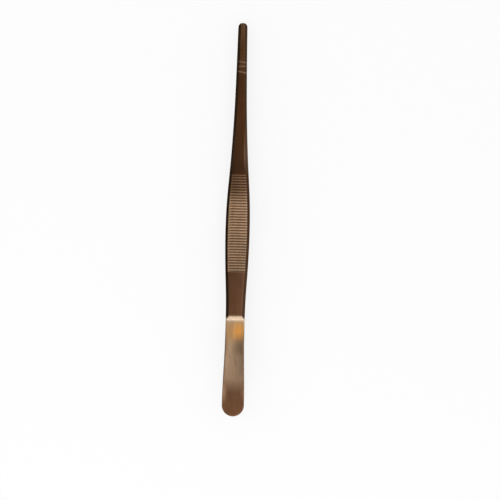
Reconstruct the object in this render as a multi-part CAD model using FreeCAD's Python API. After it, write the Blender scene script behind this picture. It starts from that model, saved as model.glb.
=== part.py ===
"""Thumb dressing forceps, 20 cm long, lying on the outer face of its lower arm.

Two forged spring-steel arms lie face to face at the butt, where they are welded, and bow apart from there
to the tips. Each arm is a thin spring plate as far as a ramped shoulder. Beyond the shoulder it is a thicker
blade with bevelled edges, a cross-ribbed finger grip and a slender shank. The inner faces of the two tips
carry cross teeth, and the teeth of one arm face the gaps between the teeth of the other.

Frame, in millimetres: +Y runs from the butt to the tips, X is across the arms, and +Z is up. The origin is at
the middle of the length and width, on the surface that the forceps lies on. Places along an arm are counted
from the butt's end and are named "at". Heights of an arm are counted from the plane where the arms meet.
"""
import FreeCAD
import Part
import math
import os

# The whole forceps
LENGTH = 200.0
HALF_GAP_AT_GRIP = 6.7
HALF_GAP_AT_JAWS = 4.7

# Thickness of one arm
PLATE_THICKNESS = 1.3
BLADE_THICKNESS = 2.5
JAW_THICKNESS = 2.0

# Side view of one arm
WELD_LENGTH = 12.0
WELD_BEND_RADIUS = 30.0
SHOULDER_AT = 49.3
SHOULDER_RUN = 2.3
SHOULDER_FOOT_RADIUS = 1.6
SHOULDER_CROWN_RADIUS = 0.8
NOSE_RADIUS = 1.1

# Plan view of one arm: half of its width at the ends of its stretches, and at even steps inside each stretch
BUTT_HALF_WIDTH = 5.66
HANDLE_HALF_WIDTHS = (5.61, 5.24, 4.89, 4.82, 5.00)
GRIP_START_HALF_WIDTH = 5.57
GRIP_HALF_WIDTHS = (6.03, 6.11, 5.69)
GRIP_END_HALF_WIDTH = 4.77
SHANK_HALF_WIDTHS = (3.83, 3.16, 2.76, 2.49)
TIP_HALF_WIDTH = 2.30
TIP_FLAT_HALF_WIDTH = 0.2

# Bevel along both outer edges, which runs out over the shoulder into a fine chamfer on the plate
BEVEL_DEPTH = 1.6
BEVEL_WIDTH = 1.5
JAW_BEVEL_DEPTH = 1.2
JAW_BEVEL_WIDTH = 1.45
BEVEL_STATION_STEP = 2.5

# Cross ribs of the finger grip, cut into the outer face
RIB_COUNT = 36
RIB_PITCH = 1.37
RIB_LAND = 0.32
RIB_GROOVE_DEPTH = 0.35
RIBS_AT = 73.8
GRIP_MARGIN = 1.3

# Cross teeth of the jaws, cut into the inner face
TOOTH_COUNT = 22
TOOTH_PITCH = 1.0
TOOTH_LAND = 0.15
TOOTH_GROOVE_DEPTH = 0.25
TIP_MARGIN = 1.0
JAW_MARGIN = 1.0

# Fine lines scribed across the outer face of the upper jaw, as distances back from the tip
SCRIBED_FROM_TIP = (25.1, 22.2, 19.8)
SCRIBED_WIDTH = 0.8
SCRIBED_DEPTH = 0.1

# Room by which a cutting tool passes the steel that it cuts, and the bevel's as a share of its size
CLEAR = 2.0
BEVEL_OVERRUN = 0.5

GRIP_FROM = RIBS_AT - GRIP_MARGIN
GRIP_TO = RIBS_AT + RIB_COUNT * RIB_PITCH + GRIP_MARGIN
TEETH_AT = LENGTH - TIP_MARGIN - TOOTH_COUNT * TOOTH_PITCH
JAW_FROM = TEETH_AT - TOOTH_PITCH / 2 - JAW_MARGIN
SHOULDER_END = SHOULDER_AT + SHOULDER_RUN
GREATEST_HALF_WIDTH = max(BUTT_HALF_WIDTH, *HANDLE_HALF_WIDTHS, *GRIP_HALF_WIDTHS)
TIP_CORNER_RADIUS = TIP_HALF_WIDTH - TIP_FLAT_HALF_WIDTH
MEETING_HEIGHT = max(HALF_GAP_AT_GRIP + BLADE_THICKNESS, HALF_GAP_AT_JAWS + JAW_THICKNESS)


def vector(x, at, height):
    """Point of an arm: across it, along it from the butt, and above the plane where the arms meet."""
    return FreeCAD.Vector(x, at - LENGTH / 2, height + MEETING_HEIGHT)


class Bend:
    """Two tangent arcs that lead a line from one level to another, in side view; alike if no radius is given."""

    def __init__(self, start, end, first_radius=None):
        run = end[0] - start[0]
        rise = end[1] - start[1]
        turn = 2 * math.atan2(abs(rise), run)
        both_radii = run / math.sin(turn)
        first_radius = first_radius or both_radii / 2
        second_radius = both_radii - first_radius
        self.way = math.copysign(1, rise)
        self.start = start
        self.end = end
        self.radii = (first_radius, second_radius)
        self.middle_at = start[0] + first_radius * math.sin(turn)

    def height(self, at):
        """Height of the line at a place inside the bend."""
        if at < self.middle_at:
            radius = self.radii[0]
            return self.start[1] + self.way * (radius - math.sqrt(radius**2 - (at - self.start[0]) ** 2))
        radius = self.radii[1]
        return self.end[1] - self.way * (radius - math.sqrt(radius**2 - (at - self.end[0]) ** 2))


class SideLine:
    """A line along one arm in side view: level at the weld, at the grip and at the jaws, with two bends."""

    def __init__(self, weld_height, grip_height, jaw_height, weld_radius):
        self.weld_height = weld_height
        self.jaw_height = jaw_height
        self.grip_height = grip_height
        self.spring = Bend((WELD_LENGTH, weld_height), (GRIP_FROM, grip_height), weld_radius)
        self.shank = Bend((GRIP_TO, grip_height), (JAW_FROM, jaw_height))
        self.breaks = (WELD_LENGTH, self.spring.middle_at, GRIP_FROM, GRIP_TO, self.shank.middle_at, JAW_FROM)

    def height(self, at):
        """Height of the line above the plane where the arms meet."""
        if at <= WELD_LENGTH:
            return self.weld_height
        if at < GRIP_FROM:
            return self.spring.height(at)
        if at <= GRIP_TO:
            return self.grip_height
        if at < JAW_FROM:
            return self.shank.height(at)
        return self.jaw_height

    def edges(self, first_at, last_at):
        """Straight and arc edges of the line between two places."""
        places = [first_at] + [at for at in self.breaks if first_at < at < last_at] + [last_at]
        pieces = []
        for start, end in zip(places, places[1:]):
            points = [vector(0, at, self.height(at)) for at in (start, (start + end) / 2, end)]
            if abs(points[0].z - points[1].z) < 1e-6 and abs(points[2].z - points[1].z) < 1e-6:
                pieces.append(Part.makeLine(points[0], points[2]))
            else:
                pieces.append(Part.Arc(*points).toShape())
        return pieces


INNER = SideLine(0, HALF_GAP_AT_GRIP, HALF_GAP_AT_JAWS, WELD_BEND_RADIUS)
PLATE_OUTER = SideLine(
    PLATE_THICKNESS,
    HALF_GAP_AT_GRIP + PLATE_THICKNESS,
    HALF_GAP_AT_JAWS + PLATE_THICKNESS,
    WELD_BEND_RADIUS - PLATE_THICKNESS,
)
BLADE_OUTER = SideLine(
    BLADE_THICKNESS,
    HALF_GAP_AT_GRIP + BLADE_THICKNESS,
    HALF_GAP_AT_JAWS + JAW_THICKNESS,
    WELD_BEND_RADIUS - BLADE_THICKNESS,
)


def even_steps(first_at, last_at, half_widths):
    """Places at even steps inside a stretch of the arm, each with its half width."""
    step = (last_at - first_at) / (len(half_widths) + 1)
    return [(first_at + step * (index + 1), width) for index, width in enumerate(half_widths)]


def half_width_curve():
    """Curve of half the arm's width from the butt's round end to the tip's corner, read by its place."""
    stations = [
        (BUTT_HALF_WIDTH, BUTT_HALF_WIDTH),
        *even_steps(0, GRIP_FROM, HANDLE_HALF_WIDTHS),
        (GRIP_FROM, GRIP_START_HALF_WIDTH),
        *even_steps(GRIP_FROM, GRIP_TO, GRIP_HALF_WIDTHS),
        (GRIP_TO, GRIP_END_HALF_WIDTH),
        *even_steps(GRIP_TO, LENGTH, SHANK_HALF_WIDTHS),
        (LENGTH - TIP_CORNER_RADIUS, TIP_HALF_WIDTH),
    ]
    curve = Part.BSplineCurve()
    curve.interpolate(
        Points=[vector(width, at, 0) for at, width in stations],
        Parameters=[at for at, _ in stations],
    )
    return curve


HALF_WIDTH = half_width_curve()


def half_width(at):
    """Half of the arm's width at a place beyond the butt's round end."""
    return HALF_WIDTH.value(min(at, LENGTH - TIP_CORNER_RADIUS)).x


def mirrored(shape):
    """The same shape on the other side of the arm's centre line."""
    return shape.mirror(FreeCAD.Vector(0, 0, 0), FreeCAD.Vector(1, 0, 0))


def side_blank():
    """Arm cut to its side view only, as wide as a bar, with the shoulder and the nose rounded."""
    bar_half_width = GREATEST_HALF_WIDTH + CLEAR
    foot = vector(0, SHOULDER_AT, PLATE_OUTER.height(SHOULDER_AT))
    crown = vector(0, SHOULDER_END, BLADE_OUTER.height(SHOULDER_END))
    nose = vector(0, LENGTH, BLADE_OUTER.height(LENGTH))
    edges = INNER.edges(0, LENGTH)
    edges.append(Part.makeLine(vector(0, LENGTH, INNER.height(LENGTH)), nose))
    edges += BLADE_OUTER.edges(SHOULDER_END, LENGTH)
    edges.append(Part.makeLine(foot, crown))
    edges += PLATE_OUTER.edges(0, SHOULDER_AT)
    edges.append(Part.makeLine(vector(0, 0, 0), vector(0, 0, PLATE_THICKNESS)))
    profile = Part.Face(Part.Wire(Part.__sortEdges__(edges)))
    profile.translate(FreeCAD.Vector(-bar_half_width, 0, 0))
    bar = profile.extrude(FreeCAD.Vector(2 * bar_half_width, 0, 0))
    for place, radius in (
        (foot, SHOULDER_FOOT_RADIUS),
        (crown, SHOULDER_CROWN_RADIUS),
        (nose, NOSE_RADIUS),
    ):
        across = [edge for edge in bar.Edges if edge.CenterOfMass.distanceToPoint(place) < 1e-3]
        bar = bar.makeFillet(radius, across)
    return bar


def plan_prism():
    """Upright prism of the arm's plan outline, taller than the arm."""
    height = MEETING_HEIGHT + 2 * CLEAR
    corner_at = LENGTH - TIP_CORNER_RADIUS
    slant = TIP_CORNER_RADIUS * math.sqrt(0.5)
    right_side = HALF_WIDTH.toShape()
    right_corner = Part.Arc(
        vector(TIP_HALF_WIDTH, corner_at, 0),
        vector(TIP_FLAT_HALF_WIDTH + slant, corner_at + slant, 0),
        vector(TIP_FLAT_HALF_WIDTH, LENGTH, 0),
    ).toShape()
    butt = Part.Arc(
        vector(-BUTT_HALF_WIDTH, BUTT_HALF_WIDTH, 0),
        vector(0, 0, 0),
        vector(BUTT_HALF_WIDTH, BUTT_HALF_WIDTH, 0),
    ).toShape()
    end = Part.makeLine(vector(-TIP_FLAT_HALF_WIDTH, LENGTH, 0), vector(TIP_FLAT_HALF_WIDTH, LENGTH, 0))
    edges = [butt, right_side, right_corner, end, mirrored(right_corner), mirrored(right_side)]
    outline = Part.Face(Part.Wire(Part.__sortEdges__(edges)))
    outline.translate(FreeCAD.Vector(0, 0, -CLEAR))
    return outline.extrude(FreeCAD.Vector(0, 0, height))


def bevel_section(at):
    """Triangle that the bevel takes away from the right outer edge, at one place."""
    edge = half_width(at)
    top = BLADE_OUTER.height(at)
    along_shank = min(max((at - GRIP_TO) / (JAW_FROM - GRIP_TO), 0), 1)
    depth = BEVEL_DEPTH + (JAW_BEVEL_DEPTH - BEVEL_DEPTH) * along_shank
    width = BEVEL_WIDTH + (JAW_BEVEL_WIDTH - BEVEL_WIDTH) * along_shank
    inner = vector(edge - width * (1 + BEVEL_OVERRUN), at, top + depth * BEVEL_OVERRUN)
    outer = vector(edge + width * BEVEL_OVERRUN, at, top - depth * (1 + BEVEL_OVERRUN))
    corner = vector(outer.x, at, inner.z - MEETING_HEIGHT)
    return Part.makePolygon([inner, outer, corner, inner])


def bevel_cutters():
    """Tools for the bevel: one along each side, and one round the butt's end."""
    run = LENGTH + CLEAR - BUTT_HALF_WIDTH
    count = math.ceil(run / BEVEL_STATION_STEP)
    places = [BUTT_HALF_WIDTH + run * index / count for index in range(count + 1)]
    right = Part.makeLoft([bevel_section(at) for at in places], True, False)
    butt_section = Part.Face(bevel_section(BUTT_HALF_WIDTH))
    centre = vector(0, BUTT_HALF_WIDTH, 0)
    butt = butt_section.revolve(centre, FreeCAD.Vector(0, 0, -1), 180)
    return [right, mirrored(right), butt]


def grooves(places, level, depth, width):
    """V grooves across the arm, sunk into its material from a level face; a negative depth sinks upwards."""
    reach = GREATEST_HALF_WIDTH + CLEAR
    lift = math.copysign(CLEAR * 0.1, depth)
    flare = width / 2 * (1 + lift / depth)
    tools = []
    for at in places:
        section = Part.makePolygon([
            vector(-reach, at - flare, level + lift),
            vector(-reach, at, level - depth),
            vector(-reach, at + flare, level + lift),
            vector(-reach, at - flare, level + lift),
        ])
        tools.append(Part.Face(section).extrude(FreeCAD.Vector(2 * reach, 0, 0)))
    return Part.makeCompound(tools)


def arm_blank():
    """One arm with its outline, bevels and ribbed grip, before its jaws are cut."""
    arm = side_blank().common(plan_prism())
    for cutter in bevel_cutters():
        arm = arm.cut(cutter)
    rib_places = [RIBS_AT + RIB_PITCH * (index + 0.5) for index in range(RIB_COUNT)]
    grip_level = HALF_GAP_AT_GRIP + BLADE_THICKNESS
    return arm.cut(grooves(rib_places, grip_level, RIB_GROOVE_DEPTH, RIB_PITCH - RIB_LAND))


def with_teeth(arm, offset):
    """The arm with cross teeth in its jaw, moved along by a part of their pitch."""
    places = [TEETH_AT + TOOTH_PITCH * (index + 0.5 - offset) for index in range(TOOTH_COUNT)]
    cutter = grooves(places, HALF_GAP_AT_JAWS, -TOOTH_GROOVE_DEPTH, TOOTH_PITCH - TOOTH_LAND)
    return arm.cut(cutter)


def with_scribed_lines(arm):
    """The arm with fine lines across the outer face of its jaw."""
    places = [LENGTH - distance for distance in SCRIBED_FROM_TIP]
    for at in places:
        arm = arm.cut(grooves([at], BLADE_OUTER.height(at), SCRIBED_DEPTH, SCRIBED_WIDTH))
    return arm


def turned_over(arm):
    """The arm on the other side of the plane where the arms meet."""
    return arm.mirror(vector(0, 0, 0), FreeCAD.Vector(0, 0, 1))


def main():
    """Build both arms and write each to its own file."""
    blank = arm_blank()
    nodes = {
        "upper_arm": with_scribed_lines(with_teeth(blank, 0)),
        "lower_arm": turned_over(with_teeth(blank, 0.5)),
    }
    os.makedirs("parts", exist_ok=True)
    for name, shape in nodes.items():
        solid = shape.Solids[0]
        if len(shape.Solids) != 1 or not solid.isValid():
            raise ValueError(name + " is not one valid solid")
        solid.exportStep("parts/" + name + ".step")
        box = solid.BoundBox
        print(name, round(solid.Volume, 1), "mm3", [round(value, 3) for value in (
            box.XMin, box.XMax, box.YMin, box.YMax, box.ZMin, box.ZMax)])


main()
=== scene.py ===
"""Dressed scene of a long pair of thumb dressing forceps in warm brown satin steel, with reflections,
highlights and shade painted into its colour.

Both arms are swept again as fine closed surfaces with softened edges, real ribs and real teeth. Each arm is
a section carried along its length: the side view gives the section's heights, the plan view its width, and
the bevel its slanted corners. Places along an arm are in millimetres from the butt's end and are named "at".
Heights of an arm are in millimetres from the plane where the arms meet. The mesh is turned into metres last.
"""
from __future__ import annotations

import logging
import math
from collections.abc import Sequence
from dataclasses import dataclass
from enum import Enum
from functools import reduce

import bmesh
import bpy
import numpy as np
from mathutils import Matrix, Vector


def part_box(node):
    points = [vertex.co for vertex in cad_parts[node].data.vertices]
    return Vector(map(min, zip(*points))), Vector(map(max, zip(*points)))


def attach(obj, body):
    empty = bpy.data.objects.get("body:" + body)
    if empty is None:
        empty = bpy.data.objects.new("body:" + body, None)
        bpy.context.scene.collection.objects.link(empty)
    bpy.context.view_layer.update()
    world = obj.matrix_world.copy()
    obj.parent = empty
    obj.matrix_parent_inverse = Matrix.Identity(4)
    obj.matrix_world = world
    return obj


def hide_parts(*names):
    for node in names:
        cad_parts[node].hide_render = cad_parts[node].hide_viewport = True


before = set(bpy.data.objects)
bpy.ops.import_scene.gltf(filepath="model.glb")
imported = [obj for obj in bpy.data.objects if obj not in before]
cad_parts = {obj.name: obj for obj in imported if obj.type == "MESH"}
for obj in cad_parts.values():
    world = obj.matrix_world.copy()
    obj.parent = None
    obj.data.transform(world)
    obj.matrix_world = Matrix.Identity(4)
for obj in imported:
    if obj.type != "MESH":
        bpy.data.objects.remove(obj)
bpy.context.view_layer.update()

LOG = logging.getLogger("forceps")
MM = 0.001
WHITE = (1.0, 1.0, 1.0, 1.0)
Array = np.ndarray
Node = bpy.types.Node
Socket = bpy.types.NodeSocket
Inputs = dict[str | int, object]
Pair = tuple[float, float]
Triple = tuple[float, float, float]
Row = tuple[float, ...]
Colour = Triple

# Columns of half a section: how many lie on the inside, on the side with its bevel, and on the face,
# the first one above the upright wall of the side, and those at the bevel's top
COLUMNS_PER_SURFACE = (8, 12, 8)
FIRST_COLUMN_ABOVE_WALL = 10
BEVEL_TOP_COLUMNS = slice(20, 25)

# Rows that turn round the butt, and those that round the tip's corners and the tip's end
BUTT_ROWS = 28
CORNER_ROWS = 20
END_ROWS = 5

# Points on a rounded edge, and how much of an edge each is, with one flat point on both sides
EDGE_POINTS = 5
EDGE_SHARES = np.concatenate([[0.0], np.sin(np.linspace(0, math.pi, EDGE_POINTS)), [0.0]])

# Most of the shorter side that a rounding may take, and how far past it the flat point lies, in millimetres
# and at most as that share of the side
MOST_OF_SIDE = 0.42
FLAT_POINT = 0.05

# Least length and angle that are divided by, and how near two points are merged, in metres
LEAST_LENGTH = 1e-9
LEAST_ANGLE = 1e-6
MERGE_DISTANCE = 1e-7


class Surface(Enum):
    """Sides of an arm that are finished differently, numbered as material slots."""

    FACE = 0
    RIBS = 1
    BEVEL = 2
    INSIDE = 3


def between(ends: Pair, share: Array) -> Array:
    """Value that changes evenly from one end's to the other's."""
    return ends[0] + (ends[1] - ends[0]) * share


def mirrored(half: Array) -> Array:
    """Values of half a section's columns, followed by the same ones backwards for its other half."""
    return np.concatenate([half, half[-2:0:-1]])


def quarter_circle(at: Array, end: float, radius: float) -> Array:
    """Height of a quarter circle that falls to nothing at its end, and its radius before it starts."""
    past = np.clip(at - (end - radius), 0, radius)
    return np.sqrt(radius**2 - past**2)


def bend(at: Array, start: Pair, end: Pair, first_radius: float | None = None) -> Array:
    """Height of two tangent arcs that lead a line from one level to another.

    Args:
        at: Places along the arm.
        start: Place and height where the first arc starts.
        end: Place and height where the second arc ends.
        first_radius: Radius of the first arc, or None for two arcs alike.

    Returns:
        The height at each place.
    """
    run = end[0] - start[0]
    rise = end[1] - start[1]
    turn = 2 * math.atan2(abs(rise), run)
    both_radii = run / math.sin(turn)
    first = first_radius or both_radii / 2
    second = both_radii - first
    way = math.copysign(1, rise)
    middle_at = start[0] + first * math.sin(turn)
    from_start = np.clip(at - start[0], 0, middle_at - start[0])
    to_end = np.clip(end[0] - at, 0, end[0] - middle_at)
    leaving = start[1] + way * (first - np.sqrt(first**2 - from_start**2))
    arriving = end[1] - way * (second - np.sqrt(second**2 - to_end**2))
    return np.where(at < middle_at, leaving, arriving)


@dataclass(frozen=True)
class SideView:
    """Side view of one arm: level at the weld, at the grip and at the jaws, with bends between them."""

    weld_length: float = 12.0
    weld_bend_radius: float = 30.0
    grip_from: float = 72.5
    grip_to: float = 124.42
    jaw_from: float = 175.5
    half_gap_at_grip: float = 6.7
    half_gap_at_jaws: float = 4.7
    plate_thickness: float = 1.3
    blade_thickness: float = 2.5
    jaw_thickness: float = 2.0
    shoulder_at: float = 49.3
    shoulder_run: float = 2.3
    foot_softness: float = 1.0
    crown_softness: float = 0.3

    def heights(self, at: Array, thickness: float, jaw_thickness: float) -> Array:
        """Height of the line that lies a thickness above the arm's inner face.

        Args:
            at: Places along the arm.
            thickness: How far above that face it lies up to the grip's end.
            jaw_thickness: How far above that face it lies at the jaws.

        Returns:
            The height at each place.
        """
        grip = self.half_gap_at_grip + thickness
        jaw = self.half_gap_at_jaws + jaw_thickness
        radius = self.weld_bend_radius - thickness
        spring = bend(at, (self.weld_length, thickness), (self.grip_from, grip), radius)
        shank = bend(at, (self.grip_to, grip), (self.jaw_from, jaw))
        return np.where(at < (self.grip_from + self.grip_to) / 2, spring, shank)

    def inner(self, at: Array) -> Array:
        """Height of the inner face."""
        return self.heights(at, 0.0, 0.0)

    def blade_outer(self, at: Array) -> Array:
        """Height of the blade's outer line, drawn on over the plate as well."""
        return self.heights(at, self.blade_thickness, self.jaw_thickness)

    def on_blade(self, at: Array) -> Array:
        """Share of the way up the shoulder: 0 on the plate, and 1 on the blade."""
        return np.clip((at - self.shoulder_at) / self.shoulder_run, 0, 1)

    def shoulder_cut(self, at: Array) -> Array:
        """How far the plate lies below the blade's outer line.

        The full step before the shoulder falls to nothing over the ramp. The ramp's slope grows evenly over
        the foot, stays, and dies evenly over the crown, so both ends are round, and the cut is its integral.

        Args:
            at: Places along the arm.

        Returns:
            The cut at each place.
        """
        samples = 400
        foot, crown = self.foot_softness, self.crown_softness
        end = self.shoulder_at + self.shoulder_run
        knots = (self.shoulder_at - foot, self.shoulder_at + foot, end - crown, end + crown)
        fine = np.linspace(knots[0], knots[-1], samples)
        risen = np.cumsum(np.interp(fine, knots, (0, 1, 1, 0)))
        step = self.blade_outer(at) - self.heights(at, self.plate_thickness, self.plate_thickness)
        return step * (1 - np.interp(at, fine, risen / risen[-1]))


@dataclass(frozen=True)
class PlanView:
    """Plan view of one arm: half widths at even steps along each stretch, the last one at its end."""

    length: float
    grip_from: float
    grip_to: float
    butt_half_width: float = 5.66
    handle: Row = (5.61, 5.24, 4.89, 4.82, 5.00, 5.57)
    grip: Row = (6.03, 6.11, 5.69, 4.77)
    shank: Row = (3.83, 3.16, 2.76, 2.49, 2.30)
    tip_flat_half_width: float = 0.2

    @property
    def tip_corner_radius(self) -> float:
        """Radius of the tip's corners."""
        return self.shank[-1] - self.tip_flat_half_width

    @property
    def corner_at(self) -> float:
        """Where the tip's corners start."""
        return self.length - self.tip_corner_radius

    def stations(self) -> tuple[Array, Array]:
        """Places that the side's curve passes through: the widest of the butt, and each stretch's own.

        Returns:
            The places, with the last one moved back to where the tip's corners start, and the half widths.
        """
        ends = (0.0, self.grip_from, self.grip_to, self.length)
        stretches = (self.handle, self.grip, self.shank)
        steps = [
            np.linspace(first, last, len(widths) + 1)[1:]
            for first, last, widths in zip(ends, ends[1:], stretches)
        ]
        places = np.concatenate([[self.butt_half_width], *steps])
        places[-1] = self.corner_at
        return places, np.concatenate([[self.butt_half_width], *stretches])

    def side(self, at: Array) -> Array:
        """Half width of the side's curve: a natural cubic spline through the stations.

        The spline's second derivatives solve one tridiagonal system, and each place takes the cubic of the
        span that it falls in.

        Args:
            at: Places along the arm.

        Returns:
            The half width at each place.
        """
        places, widths = self.stations()
        span = np.diff(places)
        slope = np.diff(widths) / span
        count = len(places)
        system = np.eye(count)
        inside = np.arange(1, count - 1)
        system[inside, inside - 1] = span[:-1]
        system[inside, inside] = 2 * (span[:-1] + span[1:])
        system[inside, inside + 1] = span[1:]
        wanted = np.zeros(count)
        wanted[inside] = 6 * np.diff(slope)
        curvature = np.linalg.solve(system, wanted)
        at = np.clip(at, places[0], places[-1])
        index = np.clip(np.searchsorted(places, at) - 1, 0, count - 2)
        before = (at - places[index]) / span[index]
        after = 1 - before
        bow = (after**3 - after) * curvature[index] + (before**3 - before) * curvature[index + 1]
        return after * widths[index] + before * widths[index + 1] + bow * span[index] ** 2 / 6

    def outline(self, at: Array) -> Array:
        """Half width with the tip's corners rounded off: the side's curve, then a quarter circle."""
        corner = self.tip_flat_half_width + quarter_circle(at, self.length, self.tip_corner_radius)
        return np.where(at > self.corner_at, corner, self.side(at))


@dataclass(frozen=True)
class Grooves:
    """A row of V grooves across an arm, with flat lands between them.

    Args:
        first_at: Where the first groove's pitch starts.
        count: Number of grooves.
        pitch: Distance from groove to groove.
        land: Width of the flat left between two grooves.
        depth: Depth of a groove.
        softness: How far the crests and the bottoms are rounded, as a share of half a groove.
    """

    first_at: float
    count: int
    pitch: float
    land: float
    depth: float
    softness: float = 0.16

    @property
    def last_at(self) -> float:
        """Where the last groove's pitch ends."""
        return self.first_at + self.count * self.pitch

    def cut(self, at: Array) -> Array:
        """Depth of the grooves.

        Each groove falls evenly to its middle. Its bottom is a hyperbola instead of a corner, and its crests
        are parabolas that meet the land without a corner.

        Args:
            at: Places along the arm.

        Returns:
            The depth at each place.
        """
        phase = np.mod((at - self.first_at) / self.pitch, 1.0)
        half = (self.pitch - self.land) / 2
        away = np.abs(phase - 0.5) * self.pitch / half
        away = np.sqrt(away**2 + self.softness**2) - self.softness
        rise = 1 - away
        soft = (rise + self.softness) ** 2 / (4 * self.softness)
        share = np.where(rise > self.softness, rise, np.where(rise > -self.softness, soft, 0.0))
        inside = (at >= self.first_at) & (at <= self.last_at)
        return np.where(inside, share * self.depth, 0.0)


def rounded_corner(before: Array, corner: Array, after: Array, radius: Array) -> Array:
    """Points that round off a corner of every section at once.

    A quadratic curve leaves one side and joins the other at the places where a circle of that radius would
    touch them. One more point on each side holds the flat beside it flat.

    Args:
        before: Corner before this one in each row, rows by 1 by 2.
        corner: The corner itself, alike.
        after: Corner after this one, alike.
        radius: Radius for each row.

    Returns:
        The points, rows by EDGE_POINTS + 2 by 2.
    """
    sides = (before - corner, after - corner)
    lengths = [np.linalg.norm(side, axis=2, keepdims=True) + LEAST_LENGTH for side in sides]
    back, onward = (side / length for side, length in zip(sides, lengths))
    half_angle = np.arccos(np.clip(np.sum(back * onward, axis=2, keepdims=True), -1, 1)) / 2
    shortest = np.minimum(*lengths)
    reach = np.minimum(radius[:, None, None] / np.tan(half_angle + LEAST_ANGLE), MOST_OF_SIDE * shortest)
    flat = reach + FLAT_POINT * np.minimum(1, shortest)
    t = np.linspace(0, 1, EDGE_POINTS)[None, :, None]
    start = corner + back * reach
    end = corner + onward * reach
    curve = (1 - t) ** 2 * start + 2 * t * (1 - t) * corner + t**2 * end
    return np.concatenate([corner + back * flat, curve, corner + onward * flat], axis=1)


def add_object(name: str, data: bpy.types.ID) -> bpy.types.Object:
    """Make an object of a mesh, a lamp or a camera.

    Args:
        name: The object's name.
        data: The mesh, lamp or camera.

    Returns:
        The object, linked to the scene.
    """
    item = bpy.data.objects.new(name, data)
    bpy.context.scene.collection.objects.link(item)
    return item


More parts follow.
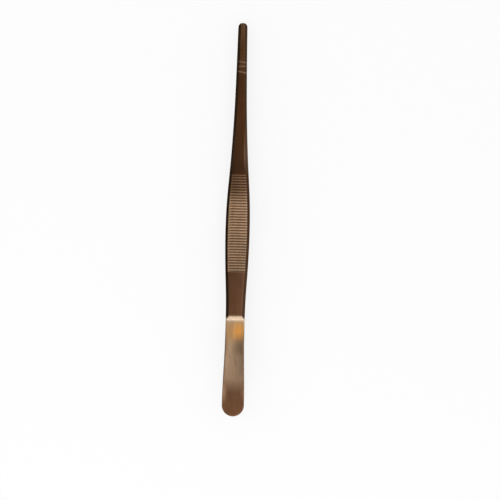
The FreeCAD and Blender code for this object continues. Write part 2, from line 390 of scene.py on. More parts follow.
@dataclass(frozen=True)
class Arm:
    """One forged arm: its shape, and the node that it stands for.

    Args:
        node: The node's name.
        upward: 1 for the arm above the plane where the arms meet, -1 for the arm below it.
        meeting_height: Height of that plane above the table, in millimetres.
        length: Length of the arm, in millimetres.
        tooth_offset: How far its teeth are moved along, as a share of their pitch.
        scribed: Whether fine lines are scribed across its jaw.
        bevel_depths: Depth of the bevels up to the grip's end, and at the jaws.
        bevel_widths: Width of the bevels at the same places.
        inner_radii: Rounding of the inner edges at the weld, and past the run beside it.
        face_radii: Rounding of the outer face's edges on the plate, and on the blade.
        flat_shares: Where two more points lie on a flat, as shares of the way to its edge.
    """

    node: str
    upward: int
    meeting_height: float
    length: float
    tooth_offset: float
    scribed: bool
    bevel_depths: Pair = (1.6, 1.2)
    bevel_widths: Pair = (1.5, 1.45)
    inner_radii: Pair = (0.05, 0.22)
    inner_radius_run: float = 6.0
    side_radius: float = 0.45
    face_radii: Pair = (0.45, 0.25)
    flat_shares: Pair = (0.35, 0.7)
    least_wall: float = 0.2
    nose_radius: float = 1.1
    end_rounding: float = 0.22
    tooth_count: int = 22
    tooth_pitch: float = 1.0
    tip_margin: float = 1.0
    scribed_from_tip: Triple = (24.85, 22.0, 19.75)
    scribed_lean: Triple = (0.21, -0.09, 0.17)
    scribed_depths: Triple = (0.1, 0.068, 0.072)
    scribed_width: float = 1.1
    lean_fade: float = 3.0
    side: SideView = SideView()
    ribs: Grooves = Grooves(first_at=73.8, count=36, pitch=1.37, land=0.32, depth=0.35)

    @property
    def plan(self) -> PlanView:
        """The arm's plan view."""
        return PlanView(self.length, self.side.grip_from, self.side.grip_to)

    @property
    def teeth(self) -> Grooves:
        """The cross teeth of the jaw."""
        first_at = self.length - self.tip_margin - (self.tooth_count + self.tooth_offset) * self.tooth_pitch
        return Grooves(first_at, self.tooth_count, self.tooth_pitch, land=0.15, depth=0.25)

    def places(self) -> Array:
        """Rows of the surface along the arm, close together where its form turns quickly.

        Each stretch is given by where it ends and the step between its rows. Round the tip's corners the
        rows follow the sine of a quarter turn.

        Returns:
            The rows' places.
        """
        side = self.side
        stretches = (
            (side.weld_length - 1, 0.8),  # weld
            (side.weld_length + 8, 0.4),  # bend beside it
            (side.shoulder_at - 1, 1.0),  # plate
            (side.shoulder_at + side.shoulder_run + 0.7, 0.07),  # shoulder
            (self.ribs.first_at - 0.1, 0.9),  # neck
            (self.ribs.last_at + 0.1, self.ribs.pitch / 16),  # ribs
            (self.length - 26, 0.9),  # shank
            (self.plan.corner_at, 0.09),  # jaw
        )
        rows = []
        first = self.plan.butt_half_width
        for last, step in stretches:
            rows.append(np.linspace(first, last, math.ceil((last - first) / step), endpoint=False))
            first = last
        run = self.length - self.end_rounding - first
        rows.append(first + run * np.sin(np.linspace(0, math.pi / 2, CORNER_ROWS)))
        return np.concatenate(rows)

    def outer_cut(self, at: Array) -> Array:
        """Depth of the outer face below the blade's outer line: shoulder, ribs, scribed lines and nose."""
        cut = self.side.shoulder_cut(at) + self.ribs.cut(at) + self.scribe_cut(at)
        return cut + self.nose_radius - quarter_circle(at, self.length, self.nose_radius)

    @property
    def scribed_at(self) -> Array:
        """Middles of the scribed lines."""
        return self.length - np.array(self.scribed_from_tip)

    def scribe_cut(self, at: Array) -> Array:
        """Depth of the scribed lines at each place: a V about each of them."""
        away = np.abs(at[:, None] - self.scribed_at) / (self.scribed_width / 2)
        return self.scribed * np.max(self.scribed_depths * (1 - np.clip(away, 0, 1)), axis=1)

    def lean(self, at: Array) -> Array:
        """How far the rows lean from square, along per across: a scribed line's own over it, else none.

        It stays the same over each line, changes evenly between two lines, and fades beyond them.

        Args:
            at: Places along the arm.

        Returns:
            The lean at each place.
        """
        if not self.scribed:
            return np.zeros_like(at)
        middles = self.scribed_at
        over = np.repeat(middles, 2) + np.tile([-0.5, 0.5], len(middles)) * self.scribed_width
        ends = (middles[0] - self.lean_fade, middles[-1] + self.lean_fade)
        return np.interp(at, [ends[0], *over, ends[1]], [0.0, *np.repeat(self.scribed_lean, 2), 0.0])

    def half_section(self, at: Array, inset: Array) -> tuple[Array, Array]:
        """Right half of the section at each place, from the middle of the inner face to that of the outer.

        Its corners are the inner corner, the corner where side and bevel meet, and the corner where bevel
        and outer face meet. The bevel is one slanted plane through the blade's line, so a deeper cut moves
        its upper corner out along that plane, as over the shoulder and at the ends of the ribs.

        Args:
            at: Places along the arm.
            inset: How far the section is shrunk at each place, for the rounding of the tip's end.

        Returns:
            Across and height of each point, rows by columns by 2, and each column's share of an edge.
        """
        side_line = self.plan.side(at)
        width = self.plan.outline(at) - inset
        blade = self.side.blade_outer(at)
        low = self.side.inner(at) + self.teeth.cut(at) + inset
        high = blade - self.outer_cut(at) - inset
        along = np.clip((at - self.side.grip_to) / (self.side.jaw_from - self.side.grip_to), 0, 1)
        bevel_depth = between(self.bevel_depths, along)
        bevel_width = between(self.bevel_widths, along)
        flat = np.minimum(width, side_line - bevel_width * (1 - (blade - high) / bevel_depth))
        shoulder = blade - bevel_depth * (1 - (side_line - width) / bevel_width)
        shoulder = np.clip(shoulder, low + self.least_wall, high)
        zero = np.zeros_like(at)
        across_and_height = ((zero, low), (width, low), (width, shoulder), (flat, high), (zero, high))
        corners = [np.stack(pair, axis=1)[:, None, :] for pair in across_and_height]
        middle_low, inner, upper_side, upper_flat, middle_high = corners
        past_weld = np.clip((at - self.side.weld_length) / self.inner_radius_run, 0, 1)
        radii = (
            between(self.inner_radii, past_weld),
            self.side_radius + zero,
            between(self.face_radii, self.side.on_blade(at)),
        )
        inner_points, side_points, face_points = (
            rounded_corner(*three, radius)
            for *three, radius in zip(corners, corners[1:], corners[2:], radii)
        )
        shares = np.array(self.flat_shares)[None, :, None]
        low_points = middle_low + (inner - middle_low) * shares
        high_points = middle_high + (upper_flat - middle_high) * shares[:, ::-1]
        bevel_middle = (upper_side + upper_flat) / 2
        points = [
            middle_low, low_points, inner_points, side_points,
            bevel_middle, face_points, high_points, middle_high,
        ]
        flat_edge = np.zeros(1 + len(self.flat_shares))
        edge = np.concatenate([flat_edge, EDGE_SHARES, EDGE_SHARES, [0.0], EDGE_SHARES, flat_edge])
        return np.concatenate(points, axis=1), edge

    def grid(self) -> tuple[Array, dict[str, Array], Array]:
        """Whole surface as a grid of rows along the arm and columns round its section.

        Behind the centre of the butt's round end the section is turned about an upright axis through that
        centre, each half to its own side, until both halves meet at the middle. Beyond the tip's last row a
        few rows shrink towards the end, and the last one closes on a point.

        Returns:
            The points, rows by columns by 3, the named values of each point, and the surface of each column.
        """
        curl = np.linspace(0, math.pi / 2, END_ROWS + 1)[1:]
        at_end = self.length - self.end_rounding * (1 - np.sin(curl))
        rows = np.concatenate([np.full(BUTT_ROWS, self.plan.butt_half_width), self.places(), at_end])
        insets = np.zeros_like(rows)
        insets[-END_ROWS:] = self.end_rounding * (1 - np.cos(curl))
        turned = np.zeros((len(rows), 1))
        turned[:BUTT_ROWS, 0] = np.radians(np.linspace(90, 0, BUTT_ROWS, endpoint=False))
        half, edge = self.half_section(rows, insets)
        out = half[:, :, 0]
        x = out * np.cos(turned)
        y = rows[:, None] - out * np.sin(turned)
        right = np.stack([x, y, half[:, :, 1]], axis=2)
        left = right[:, -2:0:-1] * np.array([-1.0, 1.0, 1.0])
        points = np.concatenate([right, left], axis=1)
        outside = mirrored(np.arange(half.shape[1]) >= FIRST_COLUMN_ABOVE_WALL)
        points[:, :, 1] -= self.lean(rows)[:, None] * points[:, :, 0] * outside
        closing = np.broadcast_to(points[-1].mean(axis=0), points[-1:].shape)
        points = np.concatenate([points, closing], axis=0)
        surfaces = (Surface.INSIDE.value, Surface.BEVEL.value, Surface.FACE.value)
        columns = mirrored(np.repeat(surfaces, COLUMNS_PER_SURFACE))
        # Mask of the painted highlight line along the right bevel's top, on the blade
        highlight_line_mask = np.zeros(len(columns))
        highlight_line_mask[BEVEL_TOP_COLUMNS] = 1.0
        rows = np.append(rows, self.length)
        values = {
            "edge": np.broadcast_to(mirrored(edge), points.shape[:2]),
            "groove": self.groove_share(rows, columns),
            "scribed": (self.scribe_cut(rows) / max(self.scribed_depths))[:, None] * outside,
            "highlight_line_mask": highlight_line_mask[None, :] * self.side.on_blade(rows)[:, None],
            "across": points[:, :, 0] / self.plan.side(rows)[:, None],
        }
        return points, values, columns

    def groove_share(self, rows: Array, columns: Array) -> Array:
        """How deep in a groove each point lies, from 0 on a crest to 1 at the bottom."""
        ribs, teeth = ((grooves.cut(rows) / grooves.depth)[:, None] for grooves in (self.ribs, self.teeth))
        return np.where(columns == Surface.INSIDE.value, teeth, ribs)

    def face_surfaces(self, rows: Array, columns: Array) -> Array:
        """Material slot of each face: its column's surface, and ribs in place of the face at the grip."""
        ribbed = (rows[:-1] >= self.ribs.first_at) & (rows[:-1] < self.ribs.last_at)
        return np.where(ribbed[:, None] & (columns == Surface.FACE.value), Surface.RIBS.value, columns)

    def build(self, materials: Sequence[bpy.types.Material]) -> None:
        """Make the arm's closed mesh, dress it and put it in the place of its node.

        Args:
            materials: One material for each surface, in the order of Surface.
        """
        points, values, columns = self.grid()
        heights = self.meeting_height + self.upward * points[:, :, 2]
        metres = np.stack([points[:, :, 0], points[:, :, 1] - self.length / 2, heights], axis=2) * MM
        numbers = np.arange(heights.size).reshape(heights.shape)
        beside = np.roll(numbers, -1, axis=1)
        quads = np.stack([numbers[:-1], beside[:-1], beside[1:], numbers[1:]], axis=2).reshape(-1, 4)
        mesh = bpy.data.meshes.new(self.node + "_dressed")
        mesh.from_pydata(metres.reshape(-1, 3), [], quads)
        for name, value in values.items():
            layer = mesh.attributes.new(name, "FLOAT", "POINT")
            layer.data.foreach_set("value", np.ascontiguousarray(value, dtype=np.float32).ravel())
        for material in materials:
            mesh.materials.append(material)
        slots = self.face_surfaces(points[:, 0, 1], columns).astype(np.int32)
        mesh.polygons.foreach_set("material_index", slots.ravel())
        self.close(mesh)
        mesh.polygons.foreach_set("use_smooth", np.ones(len(mesh.polygons), dtype=bool))
        mesh.update()
        piece = add_object(self.node + "_dressed", mesh)
        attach(piece, "root")
        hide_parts(self.node)
        LOG.info("%s: %d faces", piece.name, len(mesh.polygons))

    @staticmethod
    def close(mesh: bpy.types.Mesh) -> None:
        """Merge the seam at the butt and the point at the tip, and face every face outwards.

        Args:
            mesh: The arm's mesh, which is changed.
        """
        work = bmesh.new()
        work.from_mesh(mesh)
        bmesh.ops.remove_doubles(work, verts=work.verts, dist=MERGE_DISTANCE)
        bmesh.ops.recalc_face_normals(work, faces=work.faces)
        work.to_mesh(mesh)
        work.free()


# Colour of the metal at its grazing edges, and what its colour is multiplied by: at the bottom of a groove
# for its painted shade, in a scribed line, and, for each part of a finish's painted highlight line, in that
# painted highlight line beside the right bevel
EDGE_TINT = (0.78, 0.68, 0.60)
GROOVE_SHADE_TINT = (1.25, 1.0, 0.8)
SCRIBED_TINT = (3.3, 3.9, 5.3)
HIGHLIGHT_LINE_TINT = (0.6, 1.0, 1.8)

# Marks per metre across, along and upright: grinding along the arm, grinding across it, and stains
LENGTHWISE = (2600.0, 60.0, 2600.0)
CROSSWISE = (90.0, 3000.0, 3000.0)
STAINS = (320.0, 110.0, 320.0)
STAIN_STRENGTH = 0.22
BUMP_STRENGTH = 0.5

# Grey that stands for no painted side light where the painted side light is blended along the arm
NO_SIDE_LIGHT = 0.5

# Where the painted shade of the left rim fades inwards and where the grooves' painted shade grows to full
# inwards from the left bevel, in half widths across the arm, and where the left rim's painted shade sets in
# past the weld, in millimetres along the arm
RIM_SHADE_ACROSS = (-1.0, -0.78)
GROOVES_ACROSS = (-0.80, -0.45)
RIM_SHADE_ALONG = (12.0, 23.0)


@dataclass(frozen=True)
class SteelFinish:
    """Finish of one surface of the steel, with light and shade painted into its colour.

    Args:
        name: The material's name.
        roughness: Middle roughness.
        grain: How strongly the grinding marks darken and lighten the surface.
        edge_wear_and_highlight: How much lighter the edges are, partly from wear and partly a painted
            highlight.
        painted_groove_shade: How much painted shade darkens the bottoms of ribs or teeth.
        tones_and_painted_light: Colours along the arm, with painted reflections, highlights and shade in
            them, each with its place in millimetres from the butt.
        painted_side_light: Painted side light, how much lighter the right edge is than the middle, each with
            its place like the tones.
        painted_rim_shade: How much painted shade darkens the left rim, past the weld.
        painted_highlight_line: How much lighter the painted highlight line beside the right bevel is.
        groove_at_left: How much of the grooves' painted shade is left beside the left bevel.
        grain_depth: Depth of the grinding marks, in metres.
        grain_scale: Grinding marks per metre across, along and upright.
    """

    name: str
    roughness: float
    grain: float
    edge_wear_and_highlight: float
    painted_groove_shade: float
    tones_and_painted_light: tuple[tuple[float, Colour], ...]
    painted_side_light: tuple[Pair, ...] = ((0.0, 0.0), (200.0, 0.0))
    painted_rim_shade: float = 0.0
    painted_highlight_line: float = 0.0
    groove_at_left: float = 1.0
    grain_depth: float = 0.00002
    grain_scale: Triple = LENGTHWISE


FINISHES: dict[Surface, SteelFinish] = {
    Surface.FACE: SteelFinish(
        name="satin_face", roughness=0.36, grain=0.22, edge_wear_and_highlight=1.2, painted_groove_shade=0.3, painted_rim_shade=0.38,
        painted_highlight_line=0.17,
        # Painted reflections along the face: lighter where it tilts towards the butt, dark on the shank,
        # with a painted highlight on the shoulder's ramp from 48.4 to 51.35 mm
        tones_and_painted_light=(
            (3.0, (0.15, 0.068, 0.033)), (12.0, (0.125, 0.062, 0.032)), (20.0, (0.25, 0.16, 0.1)),
            (36.0, (0.285, 0.19, 0.118)), (42.0, (0.33, 0.185, 0.083)), (48.4, (0.42, 0.26, 0.14)),
            (49.0, (0.43, 0.33, 0.24)), (51.35, (0.29, 0.212, 0.142)), (52.1, (0.118, 0.055, 0.028)),
            (68.0, (0.104, 0.049, 0.025)), (127.0, (0.046, 0.02, 0.009)), (150.0, (0.072, 0.028, 0.011)),
            (172.0, (0.056, 0.023, 0.008)), (179.0, (0.082, 0.04, 0.018)), (186.0, (0.07, 0.03, 0.011)),
            (200.0, (0.1, 0.054, 0.026)),
        ),
        painted_side_light=(
            (10.0, 0.05), (20.0, -0.15), (33.0, -0.52), (48.0, -0.05), (56.0, 0.2), (125.0, 0.33),
            (136.0, 0.28), (146.0, 0.08), (180.0, 0.1), (196.0, 0.3),
        ),
    ),
    Surface.RIBS: SteelFinish(
        name="ribbed_grip", roughness=0.42, grain=0.16, edge_wear_and_highlight=0.3, painted_groove_shade=0.8, painted_highlight_line=0.2,
        groove_at_left=0.45, grain_depth=0.00001,
        # Painted reflection: the ribs lighter than the face
        tones_and_painted_light=(
            (74.0, (0.25, 0.16, 0.1)), (108.0, (0.32, 0.205, 0.125)), (116.0, (0.15, 0.085, 0.046)),
            (123.0, (0.135, 0.076, 0.042)),
        ),
        painted_side_light=((76.0, 0.0), (105.0, 0.14), (118.0, 0.32)),
    ),
    Surface.BEVEL: SteelFinish(
        name="bevel_shade_and_glint", roughness=0.4, grain=0.25, edge_wear_and_highlight=1.2, painted_groove_shade=0.4,
        # Painted shade darkens the bevels, with a painted glint where they run out at the shoulder, from 49
        # to 50.9 mm
        tones_and_painted_light=(
            (0.0, (0.075, 0.04, 0.024)), (13.0, (0.15, 0.088, 0.054)), (26.0, (0.1, 0.058, 0.036)),
            (44.0, (0.11, 0.065, 0.04)), (49.0, (0.42, 0.33, 0.25)), (49.7, (0.62, 0.5, 0.39)),
            (50.3, (0.42, 0.33, 0.25)), (50.9, (0.045, 0.023, 0.012)), (124.0, (0.045, 0.023, 0.012)),
            (130.0, (0.072, 0.04, 0.025)), (142.0, (0.06, 0.033, 0.02)), (150.0, (0.042, 0.021, 0.01)),
            (200.0, (0.04, 0.021, 0.01)),
        ),
        painted_side_light=((40.0, 0.1), (50.0, 0.0), (51.5, 0.74), (200.0, 0.74)),
    ),
    Surface.INSIDE: SteelFinish(
        name="matte_inner_face", roughness=0.48, grain=0.25, edge_wear_and_highlight=0.6, painted_groove_shade=0.7,
        grain_scale=CROSSWISE,
        tones_and_painted_light=(
            (0.0, (0.11, 0.065, 0.04)), (174.0, (0.12, 0.072, 0.045)), (178.0, (0.17, 0.112, 0.075)),
            (200.0, (0.18, 0.12, 0.08)),
        ),
    ),
}

# Sockets of a Mix node that blends colours: its share, both its colours and its result
MIX_SHARE, MIX_FIRST, MIX_SECOND, MIX_RESULT = 0, 6, 7, 2


class NodeTree:
    """Small helper that adds nodes to a tree and feeds their inputs."""

    def __init__(self, tree: bpy.types.NodeTree) -> None:
        """Keep the tree that the nodes go into."""
        self.tree = tree

    def feed(self, node: Node, values: Inputs) -> None:
        """Give a node's inputs what they take.

        Args:
            node: The node.
            values: A socket to lead in or a constant value, for each input's name or number.
        """
        for name, value in values.items():
            if isinstance(value, Socket):
                self.tree.links.new(value, node.inputs[name])
            else:
                node.inputs[name].default_value = value

    def add(self, kind: str, values: Inputs | None = None, **settings: object) -> Node:
        """Add a node.

        Args:
            kind: The node's type.
            values: What its inputs are fed with.
            settings: Its properties.

        Returns:
            The node.
        """
        node = self.tree.nodes.new(kind)
        for name, value in settings.items():
            setattr(node, name, value)
        self.feed(node, values or {})
        return node

    def maths(self, operation: str, first: Socket | float, second: Socket | float = 0.0) -> Socket:
        """Result of a Math node's operation on two values."""
        return self.add("ShaderNodeMath", {0: first, 1: second}, operation=operation).outputs[0]

    def product(self, *factors: Socket | float) -> Socket:
        """Product of several values."""
        return reduce(lambda first, second: self.maths("MULTIPLY", first, second), factors)

    def swing(self, value: Socket, middle: float, strength: Socket) -> Socket:
        """Twice what a value lies above its middle, times a strength."""
        return self.product(self.maths("SUBTRACT", value, middle), 2.0, strength)

    def spread(self, value: Socket, given: Sequence[float], made: Sequence[float] = (0.0, 1.0)) -> Socket:
        """Value moved from one range to another, smoothly and without passing its ends."""
        values = dict(zip(("Value", "From Min", "From Max", "To Min", "To Max"), (value, *given, *made)))
        return self.add("ShaderNodeMapRange", values, interpolation_type="SMOOTHSTEP").outputs["Result"]

    def place(self) -> Socket:
        """Place in the object's own coordinates, in metres."""
        return self.add("ShaderNodeTexCoord").outputs["Object"]

    def attribute(self, name: str) -> Socket:
        """Named value of the surface."""
        return self.add("ShaderNodeAttribute", attribute_name=name).outputs["Fac"]

    def noise(self, place: Socket, **values: float) -> Socket:
        """Noise from 0 to 1 at a place, with the values of the node's own inputs."""
        values = {"Vector": place, **values}
        return self.add("ShaderNodeTexNoise", values, noise_dimensions="3D").outputs["Fac"]

    def scaled(self, vector: Socket, scales: Socket | Sequence[float]) -> Socket:
        """Vector or colour times a scale for each of its parts, or one for all."""
        return self.add("ShaderNodeVectorMath", {0: vector, 1: scales}, operation="MULTIPLY").outputs[0]

    def mix(self, share: Socket, first: Socket, second: Socket | Sequence[float]) -> Socket:
        """Colour blended by a share from one colour to another."""
        values = {MIX_SHARE: share, MIX_FIRST: first, MIX_SECOND: second}
        return self.add("ShaderNodeMix", values, data_type="RGBA").outputs[MIX_RESULT]

    def tinted(self, colour: Socket, share: Socket, tint: Sequence[float]) -> Socket:
        """Colour blended by a share towards itself times a tint."""
        return self.mix(share, colour, self.scaled(colour, tint))


def new_group(name: str, inputs: dict[str, str], outputs: dict[str, str]) -> tuple[NodeTree, Node, Node]:
    """Start a shader node group with named sockets.

    Args:
        name: The group's name.
        inputs: Kind of each input, Float or Vector.
        outputs: Kind of each output, alike.

    Returns:
        The group's tree, its input node and its output node.
    """
    group = bpy.data.node_groups.new(name, "ShaderNodeTree")
    for way, sockets in (("INPUT", inputs), ("OUTPUT", outputs)):
        for socket, kind in sockets.items():
            group.interface.new_socket(name=socket, in_out=way, socket_type="NodeSocket" + kind)
    tree = NodeTree(group)
    return tree, tree.add("NodeGroupInput"), tree.add("NodeGroupOutput")


def grinding_marks() -> bpy.types.NodeTree:
    """Group of fine scratches: stretched noise in two sizes, as a brightness factor and as a height.

    Returns:
        The group.
    """
    inputs = {"Scale": "Vector", "Strength": "Float"}
    tree, given, made = new_group("grinding_marks", inputs, {"Factor": "Float", "Height": "Float"})
    stretched = tree.scaled(tree.place(), given.outputs["Scale"])
    fine = tree.noise(stretched, Scale=2.0, Detail=5.0, Roughness=0.65)
    coarse = tree.noise(stretched, Scale=0.45, Detail=2.0)
    marks = tree.swing(tree.maths("ADD", fine, coarse), 1.0, given.outputs["Strength"])
    tree.feed(made, {"Factor": tree.maths("ADD", marks, 1.0), "Height": fine})
    return tree.tree


def handling_marks() -> bpy.types.NodeTree:
    """Group of soft stains from handling: broad noise, as a brightness factor and as added roughness.

    Returns:
        The group.
    """
    roughness_per_light = -0.35
    outputs = {"Factor": "Float", "Roughness": "Float"}
    tree, given, made = new_group("handling_marks", {"Strength": "Float"}, outputs)
    noise = tree.noise(tree.scaled(tree.place(), STAINS), Scale=1.0, Detail=4.0)
    marks = tree.swing(noise, 0.5, given.outputs["Strength"])
    roughness = tree.maths("MULTIPLY", marks, roughness_per_light)
    tree.feed(made, {"Factor": tree.maths("ADD", marks, 1.0), "Roughness": roughness})
    return tree.tree


def worn_and_lit_edges() -> bpy.types.NodeTree:
    """Group of worn edges with a painted highlight: the edge value broken up by noise, and stronger on the
    arm's right side, where the painted highlight falls.

    Returns:
        The group.
    """
    tree, given, made = new_group("worn_and_lit_edges", {"Strength": "Float"}, {"Factor": "Float"})
    patches = tree.spread(tree.noise(tree.place(), Scale=260.0, Detail=3.0), (0.35, 0.65), (0.55, 1.0))
    at_right = tree.spread(tree.attribute("across"), (-0.3, 0.5), (0.15, 1.0))
    worn = tree.product(tree.attribute("edge"), tree.product(patches, at_right), given.outputs["Strength"])
    tree.feed(made, {"Factor": tree.maths("ADD", worn, 1.0)})
    return tree.tree


@dataclass(frozen=True)
class PaintedLightSpot:
    """Soft patch of another colour on the outer face: a painted reflection, highlight or shade, each named
    where it is listed.

    Args:
        at: Its middle along the arm, in millimetres from the butt.
        across: Its middle across the arm, in millimetres right of the arm's own.
        half_length: Half its length along the arm, in millimetres.
        half_width: Half its width across the arm, in millimetres.
        colour: Its colour.
        strength: Share of that colour in its middle.
    """

    at: float
    across: float
    half_length: float
    half_width: float
    colour: Colour
    strength: float = 1.0

    def over(self, tree: NodeTree, colour: Socket, place: Node, arm_length: float) -> Socket:
        """Colour with the patch blended in.

        The patch is an ellipse that fades with the distance from its middle, in halves of its size.

        Args:
            tree: The material's tree.
            colour: Colour under the patch.
            place: Node that puts out X and Y in metres from the arm's middle.
            arm_length: Length of the arm, in millimetres.

        Returns:
            The blended colour.
        """
        squares = []
        for axis, middle, half in (
            ("X", self.across, self.half_width),
            ("Y", self.at - arm_length / 2, self.half_length),
        ):
            away = tree.maths("SUBTRACT", place.outputs[axis], middle * MM)
            away = tree.maths("DIVIDE", away, half * MM)
            squares.append(tree.maths("MULTIPLY", away, away))
        distance = tree.maths("SQRT", tree.maths("ADD", *squares))
        return tree.mix(tree.spread(distance, (0.0, 1.0), (self.strength, 0.0)), colour, (*self.colour, 1.0))


PAINTED_LIGHT_SPOTS = (
    PaintedLightSpot(44.0, 2.1, 6.6, 5.2, (0.69, 0.31, 0.072), 0.9),  # painted warm reflection
    PaintedLightSpot(35.0, 2.6, 5.5, 4.4, (0.21, 0.13, 0.078)),  # painted shade below it
    PaintedLightSpot(35.3, -5.2, 8.8, 2.4, (0.135, 0.084, 0.056)),  # painted shade on the left edge
    PaintedLightSpot(12.5, -5.2, 7.5, 2.9, (0.30, 0.175, 0.10)),  # painted highlight on the left rim of the butt
    PaintedLightSpot(12.5, 4.9, 5.5, 1.8, (0.19, 0.105, 0.058), 0.9),  # painted highlight on the right rim of the butt
    PaintedLightSpot(134.0, 2.55, 10.5, 0.78, (0.13, 0.066, 0.037)),  # painted highlight line on the shank
)


def new_material(name: str) -> tuple[bpy.types.Material, NodeTree, Node]:
    """Start a material.

    Args:
        name: The material's name.

    Returns:
        The material, its tree and its shader.
    """
    material = bpy.data.materials.new(name)
    material.use_nodes = True
    return material, NodeTree(material.node_tree), material.node_tree.nodes["Principled BSDF"]


class SteelShop:
    """Makes the materials of the arms."""

    def __init__(self, length: float) -> None:
        """Keep the length of the arms, in millimetres, and build the shared node groups once."""
        self.length = length
        self.groups = {"marks": grinding_marks(), "stains": handling_marks(), "wear_and_highlight": worn_and_lit_edges()}

    def group(self, tree: NodeTree, name: str, **values: object) -> dict[str, Socket]:
        """What a shared group puts out in a material that feeds it values of its own."""
        return dict(tree.add("ShaderNodeGroup", values, node_tree=self.groups[name]).outputs.items())

    def blend_along(self, tree: NodeTree, along: Socket, stops: Sequence[tuple[float, Colour]]) -> Socket:
        """Colour along the arm, blended from place to place.

        Args:
            tree: The material's tree.
            along: Place along the arm, in metres from its middle.
            stops: Colours, each with its place in millimetres from the butt.

        Returns:
            The colour.
        """
        half = self.length / 2 * MM
        place = tree.add("ShaderNodeMapRange", {"Value": along, "From Min": -half, "From Max": half})
        ramp = tree.add("ShaderNodeValToRGB", {"Fac": place.outputs["Result"]})
        marks = ramp.color_ramp.elements
        while len(marks) < len(stops):
            marks.new(1.0)
        for mark, (at, colour) in zip(marks, stops):
            mark.position = at / self.length
            mark.color = (*colour, 1.0)
        return ramp.outputs["Color"]

    def material(self, surface: Surface) -> bpy.types.Material:
        """Material of one surface: toned, ground, handled and worn steel, with reflections, highlights and
        shade painted into its colour.

        Args:
            surface: The surface that it is for.

        Returns:
            The material.
        """
        finish = FINISHES[surface]
        material, tree, shader = new_material(finish.name)
        place = tree.add("ShaderNodeSeparateXYZ", {0: tree.place()})
        along = place.outputs["Y"]
        across = tree.attribute("across")
        marks = self.group(tree, "marks", Scale=finish.grain_scale, Strength=finish.grain)
        stains = self.group(tree, "stains", Strength=STAIN_STRENGTH)
        # Edges lighter from wear, and more so on the right with a painted highlight
        wear_and_highlight = self.group(tree, "wear_and_highlight", Strength=finish.edge_wear_and_highlight)
        # Steel's tone along the arm, with painted reflections, highlights and shade in it
        colour = self.blend_along(tree, along, finish.tones_and_painted_light)
        # Painted reflections, highlights and shade in soft patches on the face
        if surface is Surface.FACE:
            for spot in PAINTED_LIGHT_SPOTS:
                colour = spot.over(tree, colour, place, self.length)
        # Painted shade that darkens the left rim past the weld
        left_rim_shade = tree.spread(across, RIM_SHADE_ACROSS, (finish.painted_rim_shade, 0.0))
        past_weld = tree.spread(along, [(at - self.length / 2) * MM for at in RIM_SHADE_ALONG])
        rim_shade_factor = tree.maths("SUBTRACT", 1.0, tree.product(left_rim_shade, past_weld))
        # Painted side light: one edge of each surface lighter than the other, as if lit from that side
        greys = [(at, (NO_SIDE_LIGHT + side_light_factor,) * 3) for at, side_light_factor in finish.painted_side_light]
        side_light_factor = tree.maths("SUBTRACT", self.blend_along(tree, along, greys), NO_SIDE_LIGHT)
        side_light_factor = tree.maths("ADD", tree.product(side_light_factor, across), 1.0)
        factor = tree.product(marks["Factor"], stains["Factor"], wear_and_highlight["Factor"], side_light_factor, rim_shade_factor)
        colour = tree.scaled(colour, factor)
        colour = tree.tinted(colour, tree.attribute("scribed"), SCRIBED_TINT)
        # Painted highlight line beside the right bevel
        painted_highlight_line = [1.0 + finish.painted_highlight_line * share for share in HIGHLIGHT_LINE_TINT]
        colour = tree.tinted(colour, tree.attribute("highlight_line_mask"), painted_highlight_line)
        # Painted shade in the bottoms of ribs and teeth, with less of it beside the left bevel
        full = tree.spread(across, GROOVES_ACROSS, (finish.groove_at_left, 1.0))
        groove = [(1.0 - finish.painted_groove_shade) * share for share in GROOVE_SHADE_TINT]
        colour = tree.tinted(colour, tree.product(tree.attribute("groove"), full), groove)
        bump = {"Strength": BUMP_STRENGTH, "Distance": finish.grain_depth, "Height": marks["Height"]}
        tree.feed(shader, {
            "Metallic": 1.0,
            "Specular Tint": (*EDGE_TINT, 1.0),
            "Base Color": colour,
            "Roughness": tree.maths("ADD", stains["Roughness"], finish.roughness),
            "Normal": tree.add("ShaderNodeBump", bump).outputs["Normal"],
        })
        LOG.info("material %s", finish.name)
        return material


@dataclass(frozen=True)
class SoftBox:
    """A large soft lamp that faces the forceps."""

    name: str
    place: Triple
    size: Pair
    brightness: float

    def build(self) -> None:
        """Hang the lamp; its power is pi times its area times its brightness."""
        lamp = bpy.data.lights.new(self.name, "AREA")
        lamp.shape = "RECTANGLE"
        lamp.size, lamp.size_y = self.size
        lamp.energy = math.pi * self.size[0] * self.size[1] * self.brightness
        item = add_object(self.name, lamp)
        item.location = self.place
        item.rotation_euler = Vector(self.place).to_track_quat("Z", "Y").to_euler()


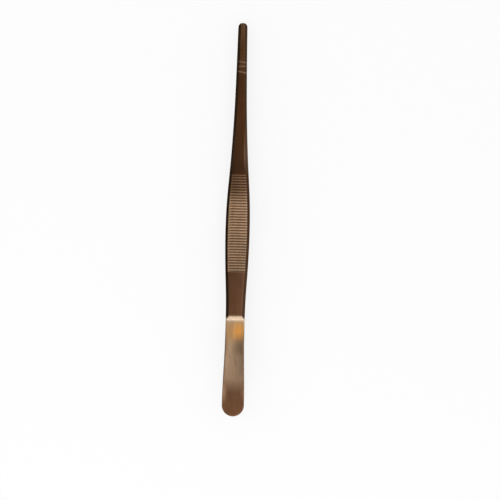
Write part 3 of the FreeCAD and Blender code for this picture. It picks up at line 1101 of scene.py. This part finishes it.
@dataclass(frozen=True)
class Studio:
    """Pale floor, soft light and the camera that looks down on the forceps.

    Args:
        length: Length of the forceps, in metres.
        top: Height of its top, in metres.
        tip_pixel: Where the tip's end shows in the picture.
        butt_pixel: Where the butt's end shows in the picture.
        aim_share: Height that the camera is aimed at, as a share of the top's.
    """

    length: float
    top: float
    tip_pixel: Pair = (243.05, 23.78)
    butt_pixel: Pair = (232.55, 417.2)
    frame_pixels: float = 500.0
    sensor_mm: float = 36.0
    camera_distance: float = 1.0
    aim_share: float = 0.7
    left_lean_degrees: float = 0.4
    floor_half_size: float = 2.0
    floor_colour: Colour = (0.92, 0.92, 0.92)
    floor_glow: float = 0.82
    daylight: float = 0.86
    lamps: tuple[SoftBox, ...] = (
        SoftBox("butt_side_lamp", (-0.12, -0.66, 0.36), (0.60, 0.30), 2.6),
        SoftBox("left_lamp", (-0.70, 0.10, 0.45), (0.50, 0.40), 0.6),
    )

    def build_floor(self) -> None:
        """Make the floor, level with what the forceps rests on."""
        reach = self.floor_half_size
        corners = [(-reach, -reach, 0), (reach, -reach, 0), (reach, reach, 0), (-reach, reach, 0)]
        mesh = bpy.data.meshes.new("floor")
        mesh.from_pydata(corners, [], [(0, 1, 2, 3)])
        mesh.materials.append(self.floor_material())
        floor = add_object("floor", mesh)

    def floor_material(self) -> bpy.types.Material:
        """Pale floor that takes the shadow, and that the camera sees partly lit through from below.

        Returns:
            The material.
        """
        material, tree, shader = new_material("pale_floor")
        colour = (*self.floor_colour, 1.0)
        tree.feed(shader, {"Base Color": colour, "Roughness": 0.9, "Specular IOR Level": 0.0})
        seen = tree.add("ShaderNodeLightPath").outputs["Is Camera Ray"]
        blend = tree.add("ShaderNodeMixShader", {
            0: tree.maths("MULTIPLY", seen, self.floor_glow),
            1: shader.outputs["BSDF"],
            2: tree.add("ShaderNodeEmission", {"Color": WHITE}).outputs["Emission"],
        })
        tree.feed(tree.tree.nodes["Material Output"], {"Surface": blend.outputs["Shader"]})
        return material

    def build_world(self) -> None:
        """Even daylight, which the camera, metal and glass see as white."""
        world = bpy.data.worlds.new("studio")
        bpy.context.scene.world = world
        world.use_nodes = True
        tree = NodeTree(world.node_tree)
        rays = tree.add("ShaderNodeLightPath")
        seen = tree.maths("MAXIMUM", rays.outputs["Is Camera Ray"], rays.outputs["Is Glossy Ray"])
        seen = tree.maths("MAXIMUM", seen, rays.outputs["Is Transmission Ray"])
        strength = tree.add("ShaderNodeMapRange", {"Value": seen, "To Min": self.daylight, "To Max": 1.0})
        background = world.node_tree.nodes["Background"]
        tree.feed(background, {"Color": WHITE, "Strength": strength.outputs["Result"]})

    def build_camera(self) -> None:
        """Hang the camera over the forceps.

        The tip's and the butt's pixels give the scale, which sets the lens, and the turn of the picture.
        The camera looks beside the forceps' middle by as much as those pixels' middle lies beside the
        picture's, so it needs no shift.
        """
        right = self.tip_pixel[0] - self.butt_pixel[0]
        up = self.butt_pixel[1] - self.tip_pixel[1]
        turn = math.atan2(right, up)
        lean = math.radians(self.left_lean_degrees)
        pixels_per_metre = math.hypot(right, up) / self.length
        camera = bpy.data.cameras.new("camera")
        camera.sensor_width = self.sensor_mm
        camera.lens = pixels_per_metre * self.camera_distance * self.sensor_mm / self.frame_pixels
        middle = Vector((0.0, 0.0, self.top * self.aim_share))
        place = middle + Vector((-math.sin(lean), 0.0, math.cos(lean))) * self.camera_distance
        along = Vector((-math.sin(turn), math.cos(turn), 0.0))
        aside = [
            (self.frame_pixels - first - second) / 2 / pixels_per_metre
            for first, second in zip(self.tip_pixel, self.butt_pixel)
        ]
        aim = middle + Vector((along.y, -along.x, 0.0)) * aside[0] - along * aside[1]
        backwards = (place - aim).normalized()
        sideways = along.cross(backwards).normalized()
        upwards = backwards.cross(sideways)
        item = add_object("camera", camera)
        turned = Matrix((sideways, upwards, backwards)).transposed().to_4x4()
        item.matrix_world = Matrix.Translation(place) @ turned
        bpy.context.scene.camera = item

    def build(self) -> None:
        """Set the floor, the daylight, the lamps and the camera."""
        self.build_floor()
        self.build_world()
        for lamp in self.lamps:
            lamp.build()
        self.build_camera()
        bpy.context.scene.view_settings.view_transform = "Standard"
        LOG.info("studio with %d lamps", len(self.lamps))


def main() -> None:
    """Build the arms, dress them and set the studio."""
    logging.basicConfig(level=logging.INFO, format="%(name)s: %(message)s")
    lowest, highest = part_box("upper_arm")
    length = (highest[1] - lowest[1]) / MM
    meeting_height = lowest[2] / MM
    shop = SteelShop(length)
    materials = [shop.material(surface) for surface in Surface]
    for arm in (
        Arm("upper_arm", 1, meeting_height, length, tooth_offset=0.0, scribed=True),
        Arm("lower_arm", -1, meeting_height, length, tooth_offset=0.5, scribed=False),
    ):
        arm.build(materials)
    Studio(length=length * MM, top=highest[2]).build()


if __name__ == "__main__":
    main()
